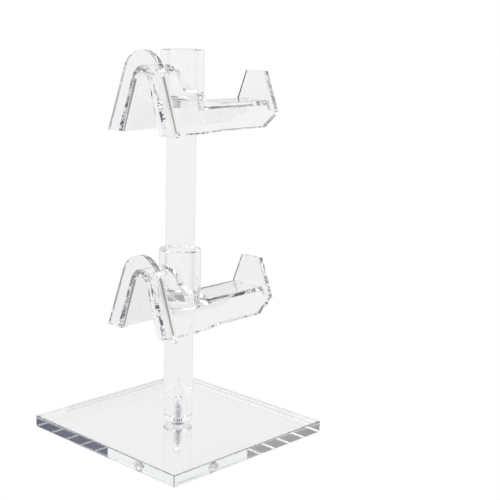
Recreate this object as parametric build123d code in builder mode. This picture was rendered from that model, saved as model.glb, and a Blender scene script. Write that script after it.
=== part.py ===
"""Two-tier countertop eyeglass display rack in clear acrylic.

A square base plate carries one solid round post, held by a countersunk self-tapping
screw from below.  Two identical moulded holders sit on the post.  Each holder is a
saddle shaped like the bridge of a nose with a flange in front of it, a collar that
grips the post, and an arm with skirts that runs back to an upright end tab.

Frame: millimetres, +Z up, the rack faces -Y.  The origin is the centre of the base's
underside, on the axis of the post.
"""

import os
from math import cos, radians, tan

from build123d import *

# ---------------------------------------------------------------- base plate
BASE_SIDE = 85.0
BASE_THICKNESS = 5.0
BASE_CORNER_RADIUS = 0.8
BASE_EDGE_BEVEL = 0.4

# ---------------------------------------------------------------- post
POST_DIAMETER = 12.0
POST_END_BEVEL = 0.3
PILOT_SPARE_DEPTH = 2.7  # pilot hole past the tip of the screw
DRILL_POINT_ANGLE = 118.0

# ---------------------------------------------------------------- base screw
SCREW_THREAD_DIAMETER = 2.9
SCREW_CORE_DIAMETER = 2.2
SCREW_PITCH = 1.1
SCREW_THREAD_ANGLE = 60.0
SCREW_LENGTH = 13.0
SCREW_POINT_LENGTH = 2.0
SCREW_HEAD_DIAMETER = 5.5
SCREW_HEAD_RIM = 0.25
SCREW_HEAD_ANGLE = 90.0
SCREW_HEAD_SINK = 0.2  # underside of the base to the head
RECESS_WIDTH = 0.75
RECESS_SPAN = 2.8
RECESS_DEPTH = 1.1
THREAD_FIT = 0.02  # radial gap between the thread's crest and its hole
SCREW_HOLE_CLEARANCE = 0.15  # radial gap through the base plate

# ---------------------------------------------------------------- where the holders sit
LOWER_HOLDER_HEIGHT = 46.0  # table to the underside of the lower holder
HOLDER_SPACING = 80.0
POST_ABOVE_COLLAR = 0.0

# ---------------------------------------------------------------- holder moulding
HOLDER_WALL = 2.6
LEG_ANGLE = 20.5  # each leg of the nose shape, from upright

SADDLE_HALF_WIDTH = 14.8
SADDLE_CROWN_RADIUS = 7.2
SADDLE_FRONT = 22.0  # post axis to the front face of the flange

FLANGE_HALF_WIDTH = 19.6
FLANGE_CROWN_RADIUS = 11.0
FLANGE_THICKNESS = 3.0

MOUTH_HALF_WIDTH = 10.4
MOUTH_LEG_ANGLE = 17.5
MOUTH_CROWN_RADIUS = 4.1

ARM_HALF_WIDTH = 12.0
ARM_HEIGHT = 10.8
ARM_REACH = 44.9  # post axis to the rear face of the tab
HEEL_LENGTH = 8.6
HEEL_HEIGHT = 4.3

COLLAR_WALL = 2.6
COLLAR_HEIGHT = 32.0
COLLAR_FLARE = 5.0
COLLAR_FIT = 0.05  # radial clearance on the post

TAB_THICKNESS = 2.6
TAB_BOTTOM = 6.0
TAB_TOP = 22.7
TAB_HALF_WIDTH_BOTTOM = 11.8
TAB_HALF_WIDTH_TOP = 5.2

EDGE_ROUND = 0.4
ARM_EDGE_ROUND = 0.5
SKIRT_FOOT_ROUND = 0.3

# ---------------------------------------------------------------- worked out
POST_RADIUS = POST_DIAMETER / 2
UPPER_HOLDER_HEIGHT = LOWER_HOLDER_HEIGHT + HOLDER_SPACING
POST_TOP = UPPER_HOLDER_HEIGHT + COLLAR_HEIGHT + POST_ABOVE_COLLAR
SCREW_BOTTOM = SCREW_HEAD_SINK
SCREW_TIP = SCREW_BOTTOM + SCREW_LENGTH
SCREW_HEAD_SLOPE = tan(radians(SCREW_HEAD_ANGLE / 2))
SCREW_HEAD_HEIGHT = (SCREW_HEAD_DIAMETER - SCREW_CORE_DIAMETER) / 2 / SCREW_HEAD_SLOPE
COUNTERSINK_RADIUS = SCREW_HEAD_DIAMETER / 2 + (SCREW_HEAD_RIM + SCREW_HEAD_SINK) * SCREW_HEAD_SLOPE
THREAD_HOLE_RADIUS = SCREW_THREAD_DIAMETER / 2 + THREAD_FIT
BASE_HOLE_RADIUS = SCREW_THREAD_DIAMETER / 2 + SCREW_HOLE_CLEARANCE
COLLAR_RADIUS = POST_RADIUS + COLLAR_FIT + COLLAR_WALL
ARM_TAPER_LENGTH = COLLAR_RADIUS + COLLAR_FLARE  # post axis to where the arm runs straight
ROOF_UNDERSIDE = ARM_HEIGHT - HOLDER_WALL
WALL_ACROSS_LEG = HOLDER_WALL / cos(radians(LEG_ANGLE))


def upright(y, z):
    """Plane that stands across the rack at y, its own Y up from height z, facing the rear."""
    return Plane((0, y, z), x_dir=(-1, 0, 0), z_dir=(0, 1, 0))


def nose(plane, half_width, leg_angle, crown_radius):
    """Inverted V standing on the plane's X axis, with a round crown."""
    apex = half_width / tan(radians(leg_angle))
    with BuildSketch(plane) as outline:
        with BuildLine():
            Polyline((-half_width, 0), (0, apex), (half_width, 0), close=True)
        make_face()
        fillet(outline.vertices().sort_by(Axis.Y)[-1], crown_radius)
    return outline.sketch


def trapezoid(plane, half_width, height):
    """Flat-topped section of the arm, its legs sloping like those of the nose shape."""
    top = half_width - height * tan(radians(LEG_ANGLE))
    with BuildSketch(plane) as outline:
        with BuildLine():
            Polyline((-half_width, 0), (-top, height), (top, height), (half_width, 0), close=True)
        make_face()
    return outline.sketch


def build_flange(datum):
    """Flat front flange of a holder with the mouth through it, its edges slightly rounded."""
    front = upright(-SADDLE_FRONT, datum)
    with BuildPart() as flange:
        extrude(
            nose(front, FLANGE_HALF_WIDTH, LEG_ANGLE, FLANGE_CROWN_RADIUS),
            amount=FLANGE_THICKNESS,
        )
        fillet(flange.faces().sort_by(Axis.Y)[-1].edges(), EDGE_ROUND)
        extrude(
            nose(front, MOUTH_HALF_WIDTH, MOUTH_LEG_ANGLE, MOUTH_CROWN_RADIUS),
            amount=FLANGE_THICKNESS,
            mode=Mode.SUBTRACT,
        )
        fillet(flange.faces().sort_by(Axis.Y)[0].edges(), EDGE_ROUND)
    return flange.part


def build_tab(datum):
    """Upright tab at the end of a holder's arm, its edges slightly rounded."""
    with BuildPart() as tab:
        with BuildSketch(upright(ARM_REACH - TAB_THICKNESS, datum)):
            with BuildLine():
                Polyline(
                    (-TAB_HALF_WIDTH_BOTTOM, TAB_BOTTOM),
                    (-TAB_HALF_WIDTH_TOP, TAB_TOP),
                    (TAB_HALF_WIDTH_TOP, TAB_TOP),
                    (TAB_HALF_WIDTH_BOTTOM, TAB_BOTTOM),
                    close=True,
                )
            make_face()
        extrude(amount=TAB_THICKNESS)
        fillet(tab.faces().filter_by(Axis.Y).edges(), EDGE_ROUND)
    return tab.part


def build_flare(datum):
    """Concave flare at the foot of the collar, kept behind the post and inside the arm's slopes."""
    foot = datum + ARM_HEIGHT
    depth = HOLDER_WALL / 2
    with BuildPart() as flare:
        with BuildSketch(Plane.XZ):
            with BuildLine():
                Polyline(
                    (COLLAR_RADIUS, foot + COLLAR_FLARE),
                    (POST_RADIUS + COLLAR_FIT, foot + COLLAR_FLARE),
                    (POST_RADIUS + COLLAR_FIT, foot - depth),
                    (COLLAR_RADIUS + COLLAR_FLARE, foot - depth),
                    (COLLAR_RADIUS + COLLAR_FLARE, foot),
                )
                RadiusArc(
                    (COLLAR_RADIUS + COLLAR_FLARE, foot),
                    (COLLAR_RADIUS, foot + COLLAR_FLARE),
                    COLLAR_FLARE,
                )
            make_face()
        revolve(axis=Axis.Z)
        slope_top = ARM_HEIGHT + COLLAR_FLARE
        loft(
            [
                trapezoid(upright(0, datum), SADDLE_HALF_WIDTH, slope_top),
                trapezoid(upright(ARM_TAPER_LENGTH, datum), ARM_HALF_WIDTH, slope_top),
            ],
            mode=Mode.INTERSECT,
        )
    return flare.part


def build_holder(name, datum):
    """One holder, its skirts' underside at height datum."""
    flange_back = -SADDLE_FRONT + FLANGE_THICKNESS
    flange_middle = flange_back - FLANGE_THICKNESS / 2
    straight_arm = ARM_REACH - ARM_TAPER_LENGTH
    hollow_half_width = SADDLE_HALF_WIDTH - WALL_ACROSS_LEG
    arm_hollow_half_width = ARM_HALF_WIDTH - WALL_ACROSS_LEG
    hollow_crown_radius = SADDLE_CROWN_RADIUS - HOLDER_WALL
    over_post = upright(0, datum)
    taper_end = upright(ARM_TAPER_LENGTH, datum)
    with BuildPart() as holder:
        # Outer shapes of the saddle and the arm behind it.
        extrude(
            nose(upright(flange_middle, datum), SADDLE_HALF_WIDTH, LEG_ANGLE, SADDLE_CROWN_RADIUS),
            amount=-flange_middle,
        )
        loft([
            trapezoid(over_post, SADDLE_HALF_WIDTH, ARM_HEIGHT),
            trapezoid(taper_end, ARM_HALF_WIDTH, ARM_HEIGHT),
        ])
        extrude(trapezoid(taper_end, ARM_HALF_WIDTH, ARM_HEIGHT), amount=straight_arm)
        # Hollow inside, open below.
        extrude(
            nose(upright(-SADDLE_FRONT, datum), hollow_half_width, LEG_ANGLE, hollow_crown_radius),
            amount=SADDLE_FRONT,
            mode=Mode.SUBTRACT,
        )
        loft(
            [
                trapezoid(over_post, hollow_half_width, ROOF_UNDERSIDE),
                trapezoid(taper_end, arm_hollow_half_width, ROOF_UNDERSIDE),
            ],
            mode=Mode.SUBTRACT,
        )
        extrude(
            trapezoid(taper_end, arm_hollow_half_width, ROOF_UNDERSIDE),
            amount=straight_arm,
            mode=Mode.SUBTRACT,
        )
        # Heel: the skirts' rear corners are cut away below the tab.
        with BuildSketch(Plane.YZ):
            with BuildLine():
                Polyline(
                    (ARM_REACH - HEEL_LENGTH, datum),
                    (ARM_REACH, datum),
                    (ARM_REACH, datum + HEEL_HEIGHT),
                    close=True,
                )
            make_face()
        extrude(amount=SADDLE_HALF_WIDTH, both=True, mode=Mode.SUBTRACT)
        # Flange in front.
        add(build_flange(datum))
        # Collar, flared on to the arm's roof, and bored for the post.
        with BuildSketch(Plane.XY.offset(datum + ROOF_UNDERSIDE)):
            Circle(COLLAR_RADIUS)
        extrude(amount=COLLAR_HEIGHT - ROOF_UNDERSIDE)
        add(build_flare(datum))
        with BuildSketch(Plane.XY.offset(datum)):
            Circle(POST_RADIUS + COLLAR_FIT)
        extrude(amount=COLLAR_HEIGHT, mode=Mode.SUBTRACT)
        collar_top = datum + COLLAR_HEIGHT
        rims = holder.edges().filter_by(GeomType.CIRCLE)
        chamfer(rims.filter_by_position(Axis.Z, collar_top, collar_top), EDGE_ROUND)
        # Tab at the far end.
        add(build_tab(datum))
        # Rounded edges: along the arm's roof inside and out, along the skirts' feet, and at the tab's foot.
        behind_taper = holder.edges().filter_by_position(Axis.Y, ARM_TAPER_LENGTH, ARM_REACH)
        ceiling = behind_taper.filter_by_position(Axis.Z, datum + ROOF_UNDERSIDE, datum + ROOF_UNDERSIDE)
        fillet(ceiling.filter_by(Axis.Y), ARM_EDGE_ROUND)
        behind_taper = holder.edges().filter_by_position(Axis.Y, ARM_TAPER_LENGTH, ARM_REACH)
        roof = behind_taper.filter_by_position(Axis.Z, datum + ARM_HEIGHT, datum + ARM_HEIGHT)
        fillet(roof.filter_by(GeomType.LINE), ARM_EDGE_ROUND)
        feet = holder.edges().filter_by_position(Axis.Z, datum, datum)
        fillet(feet.filter_by_position(Axis.Y, 0, ARM_REACH), SKIRT_FOOT_ROUND)
    holder.part.label = name
    export_step(holder.part, f"parts/{name}.step")


def build_base_plate():
    """Square base with polished, slightly bevelled edges and a countersunk hole from below."""
    with BuildPart() as base_plate:
        with BuildSketch():
            RectangleRounded(BASE_SIDE, BASE_SIDE, BASE_CORNER_RADIUS)
        extrude(amount=BASE_THICKNESS)
        chamfer(base_plate.faces().filter_by(Axis.Z).edges(), BASE_EDGE_BEVEL)
        with Locations(Location((0, 0, 0), (180, 0, 0))):
            CounterSinkHole(
                radius=BASE_HOLE_RADIUS,
                counter_sink_radius=COUNTERSINK_RADIUS,
                depth=BASE_THICKNESS,
                counter_sink_angle=SCREW_HEAD_ANGLE,
            )
    base_plate.part.label = "base_plate"
    export_step(base_plate.part, "parts/base_plate.step")


def build_post():
    """Solid round post with square-cut ends and a pilot hole for the screw."""
    with BuildPart() as post:
        with BuildSketch(Plane.XY.offset(BASE_THICKNESS)):
            Circle(POST_RADIUS)
        extrude(amount=POST_TOP - BASE_THICKNESS)
        chamfer(post.faces().filter_by(Axis.Z).edges(), POST_END_BEVEL)
        pilot_top = SCREW_TIP + PILOT_SPARE_DEPTH
        pilot_shoulder = pilot_top - THREAD_HOLE_RADIUS / tan(radians(DRILL_POINT_ANGLE / 2))
        with BuildSketch(Plane.XZ):
            with BuildLine():
                Polyline(
                    (0, BASE_THICKNESS),
                    (THREAD_HOLE_RADIUS, BASE_THICKNESS),
                    (THREAD_HOLE_RADIUS, pilot_shoulder),
                    (0, pilot_top),
                    close=True,
                )
            make_face()
        revolve(axis=Axis.Z, mode=Mode.SUBTRACT)
    post.part.label = "post"
    export_step(post.part, "parts/post.step")


def build_base_screw():
    """Countersunk self-tapping screw, its thread as a stack of ridges, with a cross recess."""
    core = SCREW_CORE_DIAMETER / 2
    crest = SCREW_THREAD_DIAMETER / 2
    flank = (crest - core) * tan(radians(SCREW_THREAD_ANGLE / 2))
    thread_start = SCREW_BOTTOM + SCREW_HEAD_RIM + SCREW_HEAD_HEIGHT
    thread_end = SCREW_TIP - SCREW_POINT_LENGTH
    turns = int((thread_end - thread_start) / SCREW_PITCH)
    outline = [
        (0, SCREW_BOTTOM),
        (SCREW_HEAD_DIAMETER / 2, SCREW_BOTTOM),
        (SCREW_HEAD_DIAMETER / 2, SCREW_BOTTOM + SCREW_HEAD_RIM),
        (core, thread_start),
    ]
    for turn in range(turns):
        ridge = thread_end - (turns - turn - 0.5) * SCREW_PITCH
        outline += [(core, ridge - flank), (crest, ridge), (core, ridge + flank)]
    outline += [(core, thread_end), (0, SCREW_TIP)]
    with BuildPart() as base_screw:
        with BuildSketch(Plane.XZ):
            with BuildLine():
                Polyline(*outline, close=True)
            make_face()
        revolve(axis=Axis.Z)
        with BuildSketch(Plane.XY.offset(SCREW_BOTTOM)):
            Rectangle(RECESS_SPAN, RECESS_WIDTH)
            Rectangle(RECESS_WIDTH, RECESS_SPAN)
        extrude(amount=RECESS_DEPTH, mode=Mode.SUBTRACT)
    base_screw.part.label = "base_screw"
    export_step(base_screw.part, "parts/base_screw.step")


os.makedirs("parts", exist_ok=True)
build_base_plate()
build_post()
build_base_screw()
build_holder("lower_holder", LOWER_HOLDER_HEIGHT)
build_holder("upper_holder", UPPER_HOLDER_HEIGHT)
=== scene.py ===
"""Clear acrylic eyeglass display rack: base plate, post, two moulded holders and a steel screw."""

import math

import bpy
from mathutils import Matrix, Vector


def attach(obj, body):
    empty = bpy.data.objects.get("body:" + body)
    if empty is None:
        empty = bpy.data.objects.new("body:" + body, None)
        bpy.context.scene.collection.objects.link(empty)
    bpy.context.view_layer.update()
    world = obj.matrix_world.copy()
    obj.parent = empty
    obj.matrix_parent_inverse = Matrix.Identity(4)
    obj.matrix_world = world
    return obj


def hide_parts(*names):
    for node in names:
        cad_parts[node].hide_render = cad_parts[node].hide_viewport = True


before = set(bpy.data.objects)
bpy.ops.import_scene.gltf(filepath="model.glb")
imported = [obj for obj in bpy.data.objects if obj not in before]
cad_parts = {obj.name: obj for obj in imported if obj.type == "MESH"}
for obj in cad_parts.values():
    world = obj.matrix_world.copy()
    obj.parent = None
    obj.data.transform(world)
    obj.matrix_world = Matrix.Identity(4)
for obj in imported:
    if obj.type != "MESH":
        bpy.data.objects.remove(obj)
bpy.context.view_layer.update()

# ---------------------------------------------------------------- sizes, in metres
BASE_TOP = 0.005
POST_RADIUS = 0.006
POST_TOP = 0.158
POST_GAP = 0.00003          # air between the post's foot and the base plate
POST_BEVEL = 0.0003
POST_SIDES = 128

THREAD_PITCH = 0.0011
THREAD_CORE = 0.0011
THREAD_CREST = 0.00145
THREAD_FLANK = 0.22         # of the pitch, from the crest to the root
THREAD_START = 0.00207
THREAD_END = 0.0112
THREAD_FADE = 0.0008        # over which the thread starts and runs out
RINGS_PER_TURN = 16

SCREW_SIDES = 48
SCREW_FOOT = 0.0002
SCREW_RIM = 0.00045
SCREW_HEAD_RADIUS = 0.00272
SCREW_TIP = 0.0132
SCREW_TIP_RADIUS = 0.00008
RECESS_SPAN = 0.0028
RECESS_WIDTH = 0.00075
RECESS_DEPTH = 0.0011
RECESS_TAPER = 0.6

PILOT_RADIUS = 0.00147      # drilled hole, just wider than the thread
PILOT_TOP = 0.0159
PILOT_TIP_RADIUS = 0.00004
DRILL_POINT = math.radians(59)

FLOOR_RADIUS = 1.0
TABLE_RADIUS = 5.0
FLOOR_GAP = 0.0002          # air under the base plate

TABLE_TONE = (0.95, 0.95, 0.95, 1.0)
PALE_BAND = (0.92, 0.92, 0.92, 1.0)
GREY_DOME = (0.22, 0.22, 0.23, 1.0)
DOME_START = 0.40           # heights, as cosines from straight up, between which the dome greys
DOME_FULL = 0.65
LED_PASSES = 2.0            # through the surface, for light that an edge leads
LED_REFLECTIONS = 2.5       # and at least three reflections
SMEAR_GREYS = 0.12          # how much a full mask changes the acrylic's colour and roughness
SMEAR_DULLS = 0.10
SCRATCH_DULLS = 0.16
SPECK_DULLS = 0.4
PAINTED_RIM_START = 0.68            # facing value where the painted grey outline shade starts and where it is full
PAINTED_RIM_FULL = 0.95
SLOPE_OF_CUTS = 0.7         # upright part of the normal of a 45 degree face, and the spread taken
SLOPE_SPREAD = 0.25
PAINTED_EDGE_GLOW = (0.09, 0.09, 0.09, 1.0)     # painted glow: emission on the sawn bevels, standing in for light led through the sheet to them
EDGE_PATCHES = (
    # towards, cosine where the patch starts and where it is full, colour
    ((0.72, 0.69, 0.385), 0.90, 0.96, (0.075, 0.08, 0.13, 1.0)),
    ((-0.72, -0.69, 0.385), 0.90, 0.96, (0.34, 0.315, 0.31, 1.0)),
)
SOFTBOX = ((-0.3, -0.2, 1.0), 0.80, 0.86, (1.7, 1.7, 1.7, 1.0))

# ---------------------------------------------------------------- camera
CAMERA_TURN = math.radians(46.0)
CAMERA_DISTANCE = 0.4407
CAMERA_HEIGHT = 0.1707
CAMERA_TILT = math.radians(11.97)
CAMERA_ROLL = math.radians(0.76)
CAMERA_LENS = 79.54
CAMERA_SHIFT = 0.14         # the post stands left of the middle of the frame


# ---------------------------------------------------------------- node helpers
def put(tree, kind, **values):
    """A new node with its settings and its unlinked inputs given by name."""
    node = tree.nodes.new(kind)
    for name, value in values.items():
        if hasattr(node, name):
            setattr(node, name, value)
        else:
            node.inputs[name.replace("_", " ")].default_value = value
    return node


def join(tree, *pairs):
    """Links given as (output, input) pairs."""
    for source, target in pairs:
        tree.links.new(source, target)


def maths(tree, operation, first, second=None, third=None, clamp=False):
    """Output of a Math node whose inputs are sockets or numbers."""
    node = tree.nodes.new("ShaderNodeMath")
    node.operation = operation
    node.use_clamp = clamp
    for socket, value in zip(node.inputs, (first, second, third)):
        if value is None:
            continue
        if isinstance(value, (int, float)):
            socket.default_value = value
        else:
            tree.links.new(value, socket)
    return node.outputs[0]


def ramp(tree, value, low, high, out_low=0.0, out_high=1.0):
    """Value mapped smoothly from low..high to out_low..out_high."""
    node = tree.nodes.new("ShaderNodeMapRange")
    node.interpolation_type = "SMOOTHSTEP"
    tree.links.new(value, node.inputs["Value"])
    for name, number in (("From Min", low), ("From Max", high), ("To Min", out_low), ("To Max", out_high)):
        node.inputs[name].default_value = number
    return node.outputs["Result"]


def new_group(name, inputs, outputs):
    """Empty shader node group with named sockets, each given as (name, kind, default)."""
    group = bpy.data.node_groups.new(name, "ShaderNodeTree")
    for label, kind, default in inputs:
        socket = group.interface.new_socket(name=label, in_out="INPUT", socket_type=kind)
        if default is not None:
            socket.default_value = default
    for label, kind in outputs:
        group.interface.new_socket(name=label, in_out="OUTPUT", socket_type=kind)
    return group, group.nodes.new("NodeGroupInput"), group.nodes.new("NodeGroupOutput")


def place_group(tree, group, coordinates, **values):
    """The group as a node in this tree, its Place input linked and its other inputs set."""
    node = tree.nodes.new("ShaderNodeGroup")
    node.node_tree = group
    tree.links.new(coordinates, node.inputs["Place"])
    for name, value in values.items():
        node.inputs[name.replace("_", " ")].default_value = value
    return node


# ---------------------------------------------------------------- effects that the finishes share
VECTOR, FLOAT = "NodeSocketVector", "NodeSocketFloat"


def make_hairlines():
    """Fine wiping scratches: thin broken lines in two directions. Gives a mask."""
    group, given, out = new_group(
        "hairline_scratches",
        [("Place", VECTOR, None), ("Per Metre", FLOAT, 60.0), ("Amount", FLOAT, 0.5)],
        [("Mask", FLOAT)],
    )
    lines = []
    for turn, stretch in (((0.5, 0.2, 0.4), 0.02), ((1.9, -0.4, 1.3), 0.03)):
        mapped = put(group, "ShaderNodeMapping", vector_type="POINT")
        mapped.inputs["Rotation"].default_value = turn
        mapped.inputs["Scale"].default_value = (1.0, stretch, 1.0)
        cells = put(group, "ShaderNodeTexVoronoi", feature="DISTANCE_TO_EDGE", Randomness=1.0)
        breaks = put(group, "ShaderNodeTexNoise", Scale=35.0, Detail=2.0)
        join(
            group,
            (given.outputs["Place"], mapped.inputs["Vector"]),
            (mapped.outputs["Vector"], cells.inputs["Vector"]),
            (given.outputs["Per Metre"], cells.inputs["Scale"]),
            (given.outputs["Place"], breaks.inputs["Vector"]),
        )
        thin = ramp(group, cells.outputs["Distance"], 0.0, 0.018, 1.0, 0.0)
        kept = ramp(group, breaks.outputs["Fac"], 0.52, 0.62)
        lines.append(maths(group, "MULTIPLY", thin, kept))
    both = maths(group, "MAXIMUM", *lines)
    join(group, (maths(group, "MULTIPLY", both, given.outputs["Amount"]), out.inputs["Mask"]))
    return group


def make_handling():
    """Soft smears where the acrylic has been touched, and specks of dust. Gives two masks."""
    group, given, out = new_group(
        "handling_marks",
        [("Place", VECTOR, None), ("Smears", FLOAT, 0.5), ("Dust", FLOAT, 0.5)],
        [("Smear", FLOAT), ("Speck", FLOAT)],
    )
    patches = put(group, "ShaderNodeTexNoise", Scale=45.0, Detail=3.0, Roughness=0.6, Distortion=0.8)
    streaks = put(group, "ShaderNodeTexNoise", Scale=420.0, Detail=2.0)
    grains = put(group, "ShaderNodeTexVoronoi", Scale=900.0, Randomness=1.0)
    join(group, *((given.outputs["Place"], n.inputs["Vector"]) for n in (patches, streaks, grains)))
    smear = maths(group, "MULTIPLY", ramp(group, patches.outputs["Fac"], 0.5, 0.72), streaks.outputs["Fac"])
    small = ramp(group, grains.outputs["Distance"], 0.05, 0.13, 1.0, 0.0)
    rare = put(group, "ShaderNodeSeparateColor")
    join(group, (grains.outputs["Color"], rare.inputs["Color"]))
    speck = maths(group, "MULTIPLY", small, ramp(group, rare.outputs["Red"], 0.9, 0.92))
    join(
        group,
        (maths(group, "MULTIPLY", smear, given.outputs["Smears"]), out.inputs["Smear"]),
        (maths(group, "MULTIPLY", speck, given.outputs["Dust"]), out.inputs["Speck"]),
    )
    return group


def make_waviness():
    """Slow unevenness left by casting, drawing or moulding. Gives a height."""
    group, given, out = new_group(
        "surface_waviness",
        [("Place", VECTOR, None), ("Per Metre", FLOAT, 60.0), ("Ripple", FLOAT, 0.2)],
        [("Height", FLOAT)],
    )
    slow = put(group, "ShaderNodeTexNoise", Detail=1.0)
    fine = put(group, "ShaderNodeTexNoise", Detail=3.0, Roughness=0.55)
    fine_scale = maths(group, "MULTIPLY", given.outputs["Per Metre"], 7.0)
    join(
        group,
        (given.outputs["Place"], slow.inputs["Vector"]),
        (given.outputs["Per Metre"], slow.inputs["Scale"]),
        (given.outputs["Place"], fine.inputs["Vector"]),
        (fine_scale, fine.inputs["Scale"]),
    )
    ripple = maths(group, "MULTIPLY", fine.outputs["Fac"], given.outputs["Ripple"])
    join(group, (maths(group, "ADD", slow.outputs["Fac"], ripple), out.inputs["Height"]))
    return group


hairlines = make_hairlines()
handling = make_handling()
waviness = make_waviness()


# ---------------------------------------------------------------- finishes
def acrylic(name, tint, haze, scratch_depth, wave_depth, wave_scale, stretch, scratches, smears, dust,
            painted_rim_shade=None, cut_faces=0.0):
    """Clear acrylic. Its waviness is stretched along Z by stretch. Its outline goes grey towards the given
    outline colour, a painted shade at grazing view angles that stands in for dark surroundings seen through
    the edges.
    cut_faces dulls what slopes at 45 degrees, and those faces also get a painted glow from emission.
    """
    material = bpy.data.materials.new(name)
    material.use_nodes = True
    tree = material.node_tree
    tree.nodes.clear()
    shader = put(tree, "ShaderNodeBsdfPrincipled", IOR=1.491)
    shader.inputs["Transmission Weight"].default_value = 1.0
    shader.inputs["Metallic"].default_value = 0.0
    absorb = put(tree, "ShaderNodeVolumeAbsorption", Density=6.0)
    absorb.inputs["Color"].default_value = tint
    target = put(tree, "ShaderNodeOutputMaterial")
    place = put(tree, "ShaderNodeTexCoord").outputs["Object"]

    drawn = put(tree, "ShaderNodeMapping")
    drawn.inputs["Scale"].default_value = (1.0, 1.0, stretch)
    join(tree, (place, drawn.inputs["Vector"]))
    waves = place_group(tree, waviness, drawn.outputs["Vector"], Per_Metre=wave_scale, Ripple=0.12)
    marks = place_group(tree, handling, place, Smears=smears, Dust=dust)
    lines = place_group(tree, hairlines, place, Per_Metre=220.0, Amount=scratches)

    # Base colour: almost colourless, a touch greyer under smears and dust.
    colour = put(tree, "ShaderNodeMix", data_type="RGBA")
    colour.inputs[6].default_value = (1.0, 1.0, 1.0, 1.0)
    colour.inputs[7].default_value = (0.80, 0.80, 0.79, 1.0)
    soiled = maths(tree, "ADD", maths(tree, "MULTIPLY", marks.outputs["Smear"], SMEAR_GREYS),
                   marks.outputs["Speck"], clamp=True)
    join(tree, (soiled, colour.inputs["Factor"]))
    base_colour = colour.outputs[2]
    # Painted shade: the outline goes grey where the surface is seen at a grazing angle, standing in for the
    # dark surroundings seen through the edges.
    if painted_rim_shade:
        edge = put(tree, "ShaderNodeLayerWeight", Blend=0.5)
        painted_outline = put(tree, "ShaderNodeMix", data_type="RGBA")
        painted_outline.inputs[7].default_value = painted_rim_shade
        join(
            tree,
            (ramp(tree, edge.outputs["Facing"], PAINTED_RIM_START, PAINTED_RIM_FULL), painted_outline.inputs["Factor"]),
            (base_colour, painted_outline.inputs[6]),
        )
        base_colour = painted_outline.outputs[2]

    # Roughness: a clear polish, dulled where it is smeared or scratched.
    dulled = maths(tree, "MULTIPLY_ADD", marks.outputs["Smear"], SMEAR_DULLS, haze)
    dulled = maths(tree, "MULTIPLY_ADD", lines.outputs["Mask"], SCRATCH_DULLS, dulled)
    dulled = maths(tree, "MULTIPLY_ADD", marks.outputs["Speck"], SPECK_DULLS, dulled, clamp=True)
    if cut_faces:
        facing = put(tree, "ShaderNodeSeparateXYZ")
        join(tree, (put(tree, "ShaderNodeNewGeometry").outputs["True Normal"], facing.inputs[0]))
        slope = maths(tree, "ABSOLUTE", facing.outputs["Z"])
        sloping = maths(tree, "COMPARE", slope, SLOPE_OF_CUTS, SLOPE_SPREAD)
        grain = put(tree, "ShaderNodeTexNoise", Scale=2500.0, Detail=2.0)
        join(tree, (place, grain.inputs["Vector"]))
        matt = maths(tree, "MULTIPLY", ramp(tree, grain.outputs["Fac"], 0.3, 0.7, 0.6, 1.0), cut_faces)
        dulled = maths(tree, "MULTIPLY_ADD", sloping, matt, dulled, clamp=True)
        # Painted glow: the 45 degree cut faces emit a faint grey light, standing in for light led through
        # the sheet to its sawn bevels.
        glow = put(tree, "ShaderNodeMix", data_type="RGBA")
        glow.inputs[6].default_value = (0.0, 0.0, 0.0, 1.0)
        glow.inputs[7].default_value = PAINTED_EDGE_GLOW
        shader.inputs["Emission Strength"].default_value = 1.0
        join(tree, (sloping, glow.inputs["Factor"]), (glow.outputs[2], shader.inputs["Emission Color"]))

    # Relief: slow waves under the fine scratches.
    relief = put(tree, "ShaderNodeBump", Strength=1.0, Distance=wave_depth)
    join(tree, (waves.outputs["Height"], relief.inputs["Height"]))
    scored = put(tree, "ShaderNodeBump", Strength=1.0, Distance=scratch_depth, invert=True)
    join(
        tree,
        (lines.outputs["Mask"], scored.inputs["Height"]),
        (relief.outputs["Normal"], scored.inputs["Normal"]),
    )

    join(
        tree,
        (base_colour, shader.inputs["Base Color"]),
        (dulled, shader.inputs["Roughness"]),
        (scored.outputs["Normal"], shader.inputs["Normal"]),
        (shader.outputs["BSDF"], target.inputs["Surface"]),
        (absorb.outputs["Volume"], target.inputs["Volume"]),
    )
    return material


def steel():
    """Zinc-plated screw steel with fine turning marks and a blotchy tone."""
    material = bpy.data.materials.new("plated_screw_steel")
    material.use_nodes = True
    tree = material.node_tree
    tree.nodes.clear()
    shader = put(tree, "ShaderNodeBsdfPrincipled", Metallic=1.0)
    target = put(tree, "ShaderNodeOutputMaterial")
    place = put(tree, "ShaderNodeTexCoord").outputs["Object"]
    turned = put(tree, "ShaderNodeMapping")
    turned.inputs["Scale"].default_value = (1.0, 1.0, 14.0)
    rings = put(tree, "ShaderNodeTexNoise", Scale=600.0, Detail=3.0)
    blotches = put(tree, "ShaderNodeTexNoise", Scale=900.0, Detail=2.0)
    join(
        tree,
        (place, turned.inputs["Vector"]),
        (turned.outputs["Vector"], rings.inputs["Vector"]),
        (place, blotches.inputs["Vector"]),
    )
    colour = put(tree, "ShaderNodeMix", data_type="RGBA")
    colour.inputs[6].default_value = (0.62, 0.64, 0.68, 1.0)
    colour.inputs[7].default_value = (0.80, 0.81, 0.83, 1.0)
    roughness = ramp(tree, rings.outputs["Fac"], 0.3, 0.7, 0.16, 0.34)
    relief = put(tree, "ShaderNodeBump", Strength=0.6, Distance=0.00001)
    join(
        tree,
        (ramp(tree, blotches.outputs["Fac"], 0.35, 0.65), colour.inputs["Factor"]),
        (colour.outputs[2], shader.inputs["Base Color"]),
        (roughness, shader.inputs["Roughness"]),
        (rings.outputs["Fac"], relief.inputs["Height"]),
        (relief.outputs["Normal"], shader.inputs["Normal"]),
        (shader.outputs["BSDF"], target.inputs["Surface"]),
    )
    return material


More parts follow.
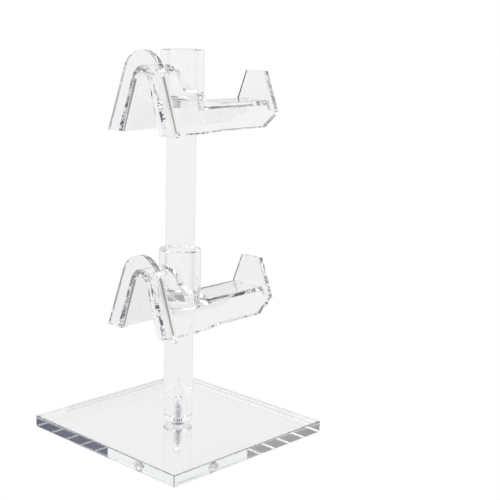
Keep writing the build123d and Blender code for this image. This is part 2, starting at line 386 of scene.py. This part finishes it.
sheet_acrylic = acrylic(
    "cast_sheet_acrylic", tint=(0.90, 0.935, 0.955, 1.0), haze=0.004, scratch_depth=0.0000008,
    wave_depth=0.000002, wave_scale=40.0, stretch=1.0, scratches=0.6, smears=0.5, dust=0.8,
    cut_faces=0.4,
)
rod_acrylic = acrylic(
    "drawn_rod_acrylic", tint=(0.93, 0.94, 0.95, 1.0), haze=0.006, scratch_depth=0.0000006,
    wave_depth=0.000004, wave_scale=260.0, stretch=0.03, scratches=0.3, smears=0.4, dust=0.4,
    painted_rim_shade=(0.55, 0.56, 0.58, 1.0),
)
moulded_acrylic = acrylic(
    "moulded_acrylic", tint=(0.93, 0.945, 0.955, 1.0), haze=0.006, scratch_depth=0.0000006,
    wave_depth=0.000012, wave_scale=110.0, stretch=0.6, scratches=0.4, smears=0.5, dust=0.5,
    painted_rim_shade=(0.62, 0.63, 0.65, 1.0),
)
screw_steel = steel()


def give(node, material):
    """The finish on every material slot of an object."""
    if not node.material_slots:
        node.data.materials.append(material)
    for slot in node.material_slots:
        slot.material = material


give(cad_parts["base_plate"], sheet_acrylic)
give(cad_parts["lower_holder"], moulded_acrylic)
give(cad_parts["upper_holder"], moulded_acrylic)

# ---------------------------------------------------------------- post and screw
def thread_swell(height, turn):
    """How far the thread stands out, from 0 at its core to 1 at its crest, at a height and turn."""
    phase = (height / THREAD_PITCH - turn) % 1.0
    out = max(0.0, 1.0 - min(phase, 1.0 - phase) / THREAD_FLANK)
    starts = min(1.0, max(0.0, (height - THREAD_START) / THREAD_FADE))
    ends = min(1.0, max(0.0, (THREAD_END - height) / THREAD_FADE))
    return out * starts * ends


def thread_heights(low, high):
    """Ring heights of a threaded stretch, from low to high."""
    count = round((high - low) / THREAD_PITCH * RINGS_PER_TURN)
    return [low + (high - low) * ring / count for ring in range(count + 1)]


def turned_piece(name, rings, sides, material, node):
    """Round solid made by pulling a disc from ring to ring, each given as (radius, height)."""
    bpy.ops.object.select_all(action="DESELECT")
    radius, height = rings[0]
    bpy.ops.mesh.primitive_circle_add(
        vertices=sides, radius=radius, fill_type="NGON", location=(0, 0, height),
    )
    bpy.ops.object.transform_apply(location=True, rotation=False, scale=False)
    piece = bpy.context.object
    piece.name = name
    bpy.ops.object.mode_set(mode="EDIT")
    bpy.ops.mesh.select_all(action="SELECT")
    for next_radius, next_height in rings[1:]:
        bpy.ops.mesh.extrude_region_move(TRANSFORM_OT_translate={"value": (0, 0, next_height - height)})
        grown = next_radius / radius
        bpy.ops.transform.resize(value=(grown, grown, 1.0), center_override=(0, 0, next_height))
        radius, height = next_radius, next_height
    bpy.ops.mesh.select_all(action="SELECT")
    bpy.ops.mesh.normals_make_consistent(inside=False)
    bpy.ops.object.mode_set(mode="OBJECT")
    piece.data.materials.append(material)
    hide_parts(node)
    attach(piece, "stand")
    return piece


def cut_thread(piece):
    """Turns the plain rings of the shank into a helical thread."""
    for vertex in piece.data.vertices:
        x, y, z = vertex.co
        if THREAD_START < z < THREAD_END:
            swell = thread_swell(z, math.atan2(y, x) / math.tau)
            grown = 1.0 + swell * (THREAD_CREST / THREAD_CORE - 1.0)
            vertex.co = (x * grown, y * grown, z)


def smooth(piece, degrees):
    """Smooth shading, with the sharp edges kept."""
    bpy.ops.object.select_all(action="DESELECT")
    piece.select_set(True)
    bpy.context.view_layer.objects.active = piece
    bpy.ops.object.shade_smooth_by_angle(angle=math.radians(degrees))


def make_post():
    """Solid rod, its rings going down the drilled pilot hole, out across the foot and up the outside."""
    foot = BASE_TOP + POST_GAP
    rings = [
        (PILOT_TIP_RADIUS, PILOT_TOP),
        (PILOT_RADIUS, PILOT_TOP - PILOT_RADIUS / math.tan(DRILL_POINT)),
        (PILOT_RADIUS, foot),
        (POST_RADIUS - POST_BEVEL, foot),
        (POST_RADIUS, foot + POST_BEVEL),
        (POST_RADIUS, POST_TOP - POST_BEVEL),
        (POST_RADIUS - POST_BEVEL, POST_TOP),
    ]
    post = turned_piece("clear_post", rings, POST_SIDES, rod_acrylic, "post")
    smooth(post, 25)


def make_screw():
    """Countersunk self-tapping screw with a helical thread, a point and a cross recess."""
    head = [
        (SCREW_HEAD_RADIUS, SCREW_FOOT),
        (SCREW_HEAD_RADIUS, SCREW_RIM),
    ]
    shank = [(THREAD_CORE, height) for height in thread_heights(THREAD_START, THREAD_END)]
    screw = turned_piece("countersunk_screw", head + shank + [(SCREW_TIP_RADIUS, SCREW_TIP)], SCREW_SIDES,
                         screw_steel, "base_screw")
    cut_thread(screw)
    for turn in (0.0, math.pi / 2):
        bpy.ops.object.select_all(action="DESELECT")
        bpy.ops.mesh.primitive_cube_add(size=1.0, location=(0, 0, SCREW_FOOT), rotation=(0, 0, turn))
        slot = bpy.context.object
        slot.scale = (RECESS_SPAN, RECESS_WIDTH, 2 * RECESS_DEPTH)
        bpy.ops.object.transform_apply(location=True, rotation=True, scale=True)
        bpy.ops.object.mode_set(mode="EDIT")
        bpy.ops.mesh.select_mode(type="FACE")
        bpy.ops.mesh.select_all(action="DESELECT")
        bpy.ops.object.mode_set(mode="OBJECT")
        for face in slot.data.polygons:
            face.select = face.normal.z > 0.9
        bpy.ops.object.mode_set(mode="EDIT")
        bpy.ops.transform.resize(value=(RECESS_TAPER, RECESS_TAPER, 1.0), center_override=(0, 0, 0))
        bpy.ops.object.mode_set(mode="OBJECT")
        cut = screw.modifiers.new("cross_recess", "BOOLEAN")
        cut.operation = "DIFFERENCE"
        cut.solver = "EXACT"
        cut.object = slot
        bpy.context.view_layer.objects.active = screw
        bpy.ops.object.modifier_apply(modifier=cut.name)
        bpy.data.objects.remove(slot, do_unlink=True)
    smooth(screw, 40)


make_post()
make_screw()


# ---------------------------------------------------------------- studio
def make_disc(name, radius, height):
    """Flat round stage surface, which is no part of the rack."""
    bpy.ops.object.select_all(action="DESELECT")
    bpy.ops.mesh.primitive_circle_add(vertices=96, radius=radius, fill_type="NGON", location=(0, 0, height))
    disc = bpy.context.object
    disc.name = name
    return disc


def make_floor():
    """Plain white floor, with the polished table top that the acrylic sees under itself."""
    floor = make_disc("floor", FLOOR_RADIUS, -2 * FLOOR_GAP)
    white = bpy.data.materials.new("white_sweep")
    white.use_nodes = True
    tree = white.node_tree
    tree.nodes.clear()
    glow = put(tree, "ShaderNodeEmission", Color=(1.0, 1.0, 1.0, 1.0), Strength=1.0)
    target = put(tree, "ShaderNodeOutputMaterial")
    join(tree, (glow.outputs[0], target.inputs["Surface"]))
    floor.data.materials.append(white)
    for kind in ("diffuse", "glossy", "transmission", "volume_scatter", "shadow"):
        setattr(floor, "visible_" + kind, False)

    table = make_disc("table", TABLE_RADIUS, -FLOOR_GAP)
    polished = bpy.data.materials.new("polished_table")
    polished.use_nodes = True
    shader = polished.node_tree.nodes["Principled BSDF"]
    shader.inputs["Base Color"].default_value = TABLE_TONE
    shader.inputs["Metallic"].default_value = 1.0
    shader.inputs["Roughness"].default_value = 0.06
    table.data.materials.append(polished)
    table.visible_camera = False
    table.visible_shadow = False


def make_surroundings():
    """Soft studio, the same above and below: a pale band all round and an overhead softbox.

    The grey dome shows only to light reflected several times, and the two dark areas only to light
    that an edge leads through the acrylic, so that clear walls stay clear from every side.
    """
    world = bpy.data.worlds.new("soft_studio")
    bpy.context.scene.world = world
    world.use_nodes = True
    tree = world.node_tree
    tree.nodes.clear()
    raised = put(tree, "ShaderNodeVectorMath", operation="ABSOLUTE")
    height = put(tree, "ShaderNodeSeparateXYZ")
    whole = put(tree, "ShaderNodeSeparateXYZ")
    upright = put(tree, "ShaderNodeCombineXYZ")
    outward = put(tree, "ShaderNodeTexCoord").outputs["Generated"]
    direction = upright.outputs[0]
    join(
        tree,
        (outward, raised.inputs[0]),
        (outward, whole.inputs[0]),
        (raised.outputs[0], height.inputs[0]),
        (whole.outputs["X"], upright.inputs["X"]),
        (whole.outputs["Y"], upright.inputs["Y"]),
        (height.outputs["Z"], upright.inputs["Z"]),
    )
    dome = put(tree, "ShaderNodeMix", data_type="RGBA")
    dome.inputs[6].default_value = PALE_BAND
    dome.inputs[7].default_value = GREY_DOME
    rays = put(tree, "ShaderNodeLightPath")
    passes = rays.outputs["Transmission Depth"]
    reflections = maths(tree, "SUBTRACT", rays.outputs["Ray Depth"], passes)
    turned_inside = maths(tree, "GREATER_THAN", reflections, LED_REFLECTIONS)
    above = ramp(tree, height.outputs["Z"], DOME_START, DOME_FULL)
    join(tree, (maths(tree, "MULTIPLY", above, turned_inside), dome.inputs[0]))
    shade = dome.outputs[2]
    through_edge = maths(tree, "MULTIPLY", maths(tree, "COMPARE", passes, LED_PASSES, 0.5), turned_inside)
    areas = [(patch, through_edge) for patch in EDGE_PATCHES] + [(SOFTBOX, None)]
    for (towards, start, full, colour), shown_to in areas:
        facing = put(tree, "ShaderNodeVectorMath", operation="DOT_PRODUCT")
        facing.inputs[1].default_value = Vector(towards).normalized()
        mix = put(tree, "ShaderNodeMix", data_type="RGBA")
        mix.inputs[7].default_value = colour
        join(tree, (direction, facing.inputs[0]), (shade, mix.inputs[6]))
        covered = ramp(tree, facing.outputs["Value"], start, full)
        if shown_to is not None:
            covered = maths(tree, "MULTIPLY", covered, shown_to)
        join(tree, (covered, mix.inputs[0]))
        shade = mix.outputs[2]
    studio = put(tree, "ShaderNodeBackground")
    plain = put(tree, "ShaderNodeBackground", Color=(1.0, 1.0, 1.0, 1.0))
    pick = put(tree, "ShaderNodeMixShader")
    target = put(tree, "ShaderNodeOutputWorld")
    join(
        tree,
        (shade, studio.inputs["Color"]),
        (rays.outputs["Is Camera Ray"], pick.inputs[0]),
        (studio.outputs[0], pick.inputs[1]),
        (plain.outputs[0], pick.inputs[2]),
        (pick.outputs[0], target.inputs["Surface"]),
    )


def make_camera():
    data = bpy.data.cameras.new("camera")
    data.sensor_width = 36.0
    data.lens = CAMERA_LENS
    data.shift_x = CAMERA_SHIFT
    data.clip_start = 0.01
    data.clip_end = 20.0
    camera = bpy.data.objects.new("camera", data)
    bpy.context.collection.objects.link(camera)
    stand = Matrix.Translation((
        CAMERA_DISTANCE * math.sin(CAMERA_TURN),
        -CAMERA_DISTANCE * math.cos(CAMERA_TURN),
        CAMERA_HEIGHT,
    ))
    aim = Matrix.Rotation(CAMERA_TURN, 4, "Z") @ Matrix.Rotation(math.pi / 2 - CAMERA_TILT, 4, "X")
    camera.matrix_world = stand @ aim @ Matrix.Rotation(CAMERA_ROLL, 4, "Z")
    bpy.context.scene.camera = camera


def set_light_paths():
    """Enough bounces for light to get through several walls of acrylic."""
    scene = bpy.context.scene
    scene.view_settings.view_transform = "Standard"
    scene.cycles.max_bounces = 48
    scene.cycles.transmission_bounces = 48
    scene.cycles.glossy_bounces = 40
    scene.cycles.transparent_max_bounces = 16


make_floor()
make_surroundings()
make_camera()
set_light_paths()
